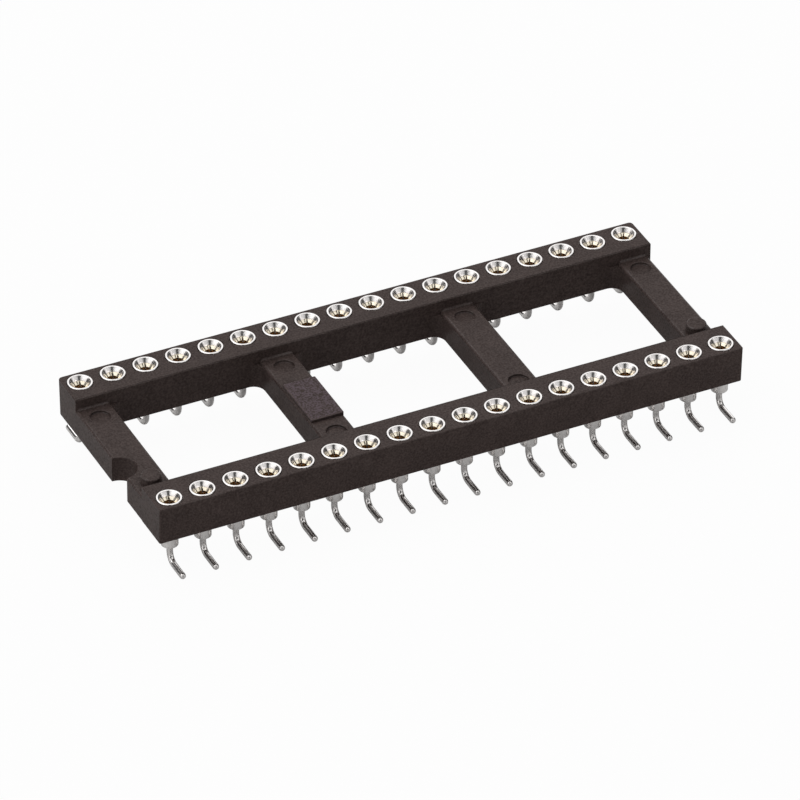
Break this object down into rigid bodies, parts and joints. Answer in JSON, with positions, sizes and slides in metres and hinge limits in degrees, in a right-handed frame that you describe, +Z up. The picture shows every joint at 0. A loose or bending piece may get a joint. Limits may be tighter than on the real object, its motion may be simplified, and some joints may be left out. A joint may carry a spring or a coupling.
{
  "type": "dip socket",
  "caption": "Open-frame dual-in-line chip socket: black moulded rails and cross bars, turned tin-plated sleeves with gold spring clips, and solder tails bent outwards for surface mounting.",
  "frame": {"origin": "on the board under the middle of the socket, level with the underside of the feet", "axes": "+X along the rails, with the index notch at -X; the first row of contacts at -Y; +Z up, out of the contacts"},
  "size_m": [0.0456, 0.02, 0.0056],
  "materials": {
    "frame_plastic": "moulded glass-filled plastic, warm black, satin",
    "sleeve_tin": "turned brass under bright tin plating",
    "clip_gold": "stamped spring metal under gold plating"
  },
  "bodies": {
    "root": {"frame": "frame_plastic", "sleeve_01": "sleeve_tin", "sleeve_02": "sleeve_tin", "sleeve_03": "sleeve_tin", "sleeve_04": "sleeve_tin", "sleeve_05": "sleeve_tin", "sleeve_06": "sleeve_tin", "sleeve_07": "sleeve_tin", "sleeve_08": "sleeve_tin", "sleeve_09": "sleeve_tin", "sleeve_10": "sleeve_tin", "sleeve_11": "sleeve_tin", "sleeve_12": "sleeve_tin", "sleeve_13": "sleeve_tin", "sleeve_14": "sleeve_tin", "sleeve_15": "sleeve_tin", "sleeve_16": "sleeve_tin", "sleeve_17": "sleeve_tin", "sleeve_18": "sleeve_tin", "sleeve_19": "sleeve_tin", "sleeve_20": "sleeve_tin", "sleeve_21": "sleeve_tin", "sleeve_22": "sleeve_tin", "sleeve_23": "sleeve_tin", "sleeve_24": "sleeve_tin", "sleeve_25": "sleeve_tin", "sleeve_26": "sleeve_tin", "sleeve_27": "sleeve_tin", "sleeve_28": "sleeve_tin", "sleeve_29": "sleeve_tin", "sleeve_30": "sleeve_tin", "sleeve_31": "sleeve_tin", "sleeve_32": "sleeve_tin", "sleeve_33": "sleeve_tin", "sleeve_34": "sleeve_tin", "sleeve_35": "sleeve_tin", "sleeve_36": "sleeve_tin", "clips_01_36": "clip_gold", "clips_02_35": "clip_gold", "clips_03_34": "clip_gold", "clips_04_33": "clip_gold", "clips_05_32": "clip_gold", "clips_06_31": "clip_gold", "clips_07_30": "clip_gold", "clips_08_29": "clip_gold", "clips_09_28": "clip_gold", "clips_10_27": "clip_gold", "clips_11_26": "clip_gold", "clips_12_25": "clip_gold", "clips_13_24": "clip_gold", "clips_14_23": "clip_gold", "clips_15_22": "clip_gold", "clips_16_21": "clip_gold", "clips_17_20": "clip_gold", "clips_18_19": "clip_gold"}
  },
  "joints": []
}
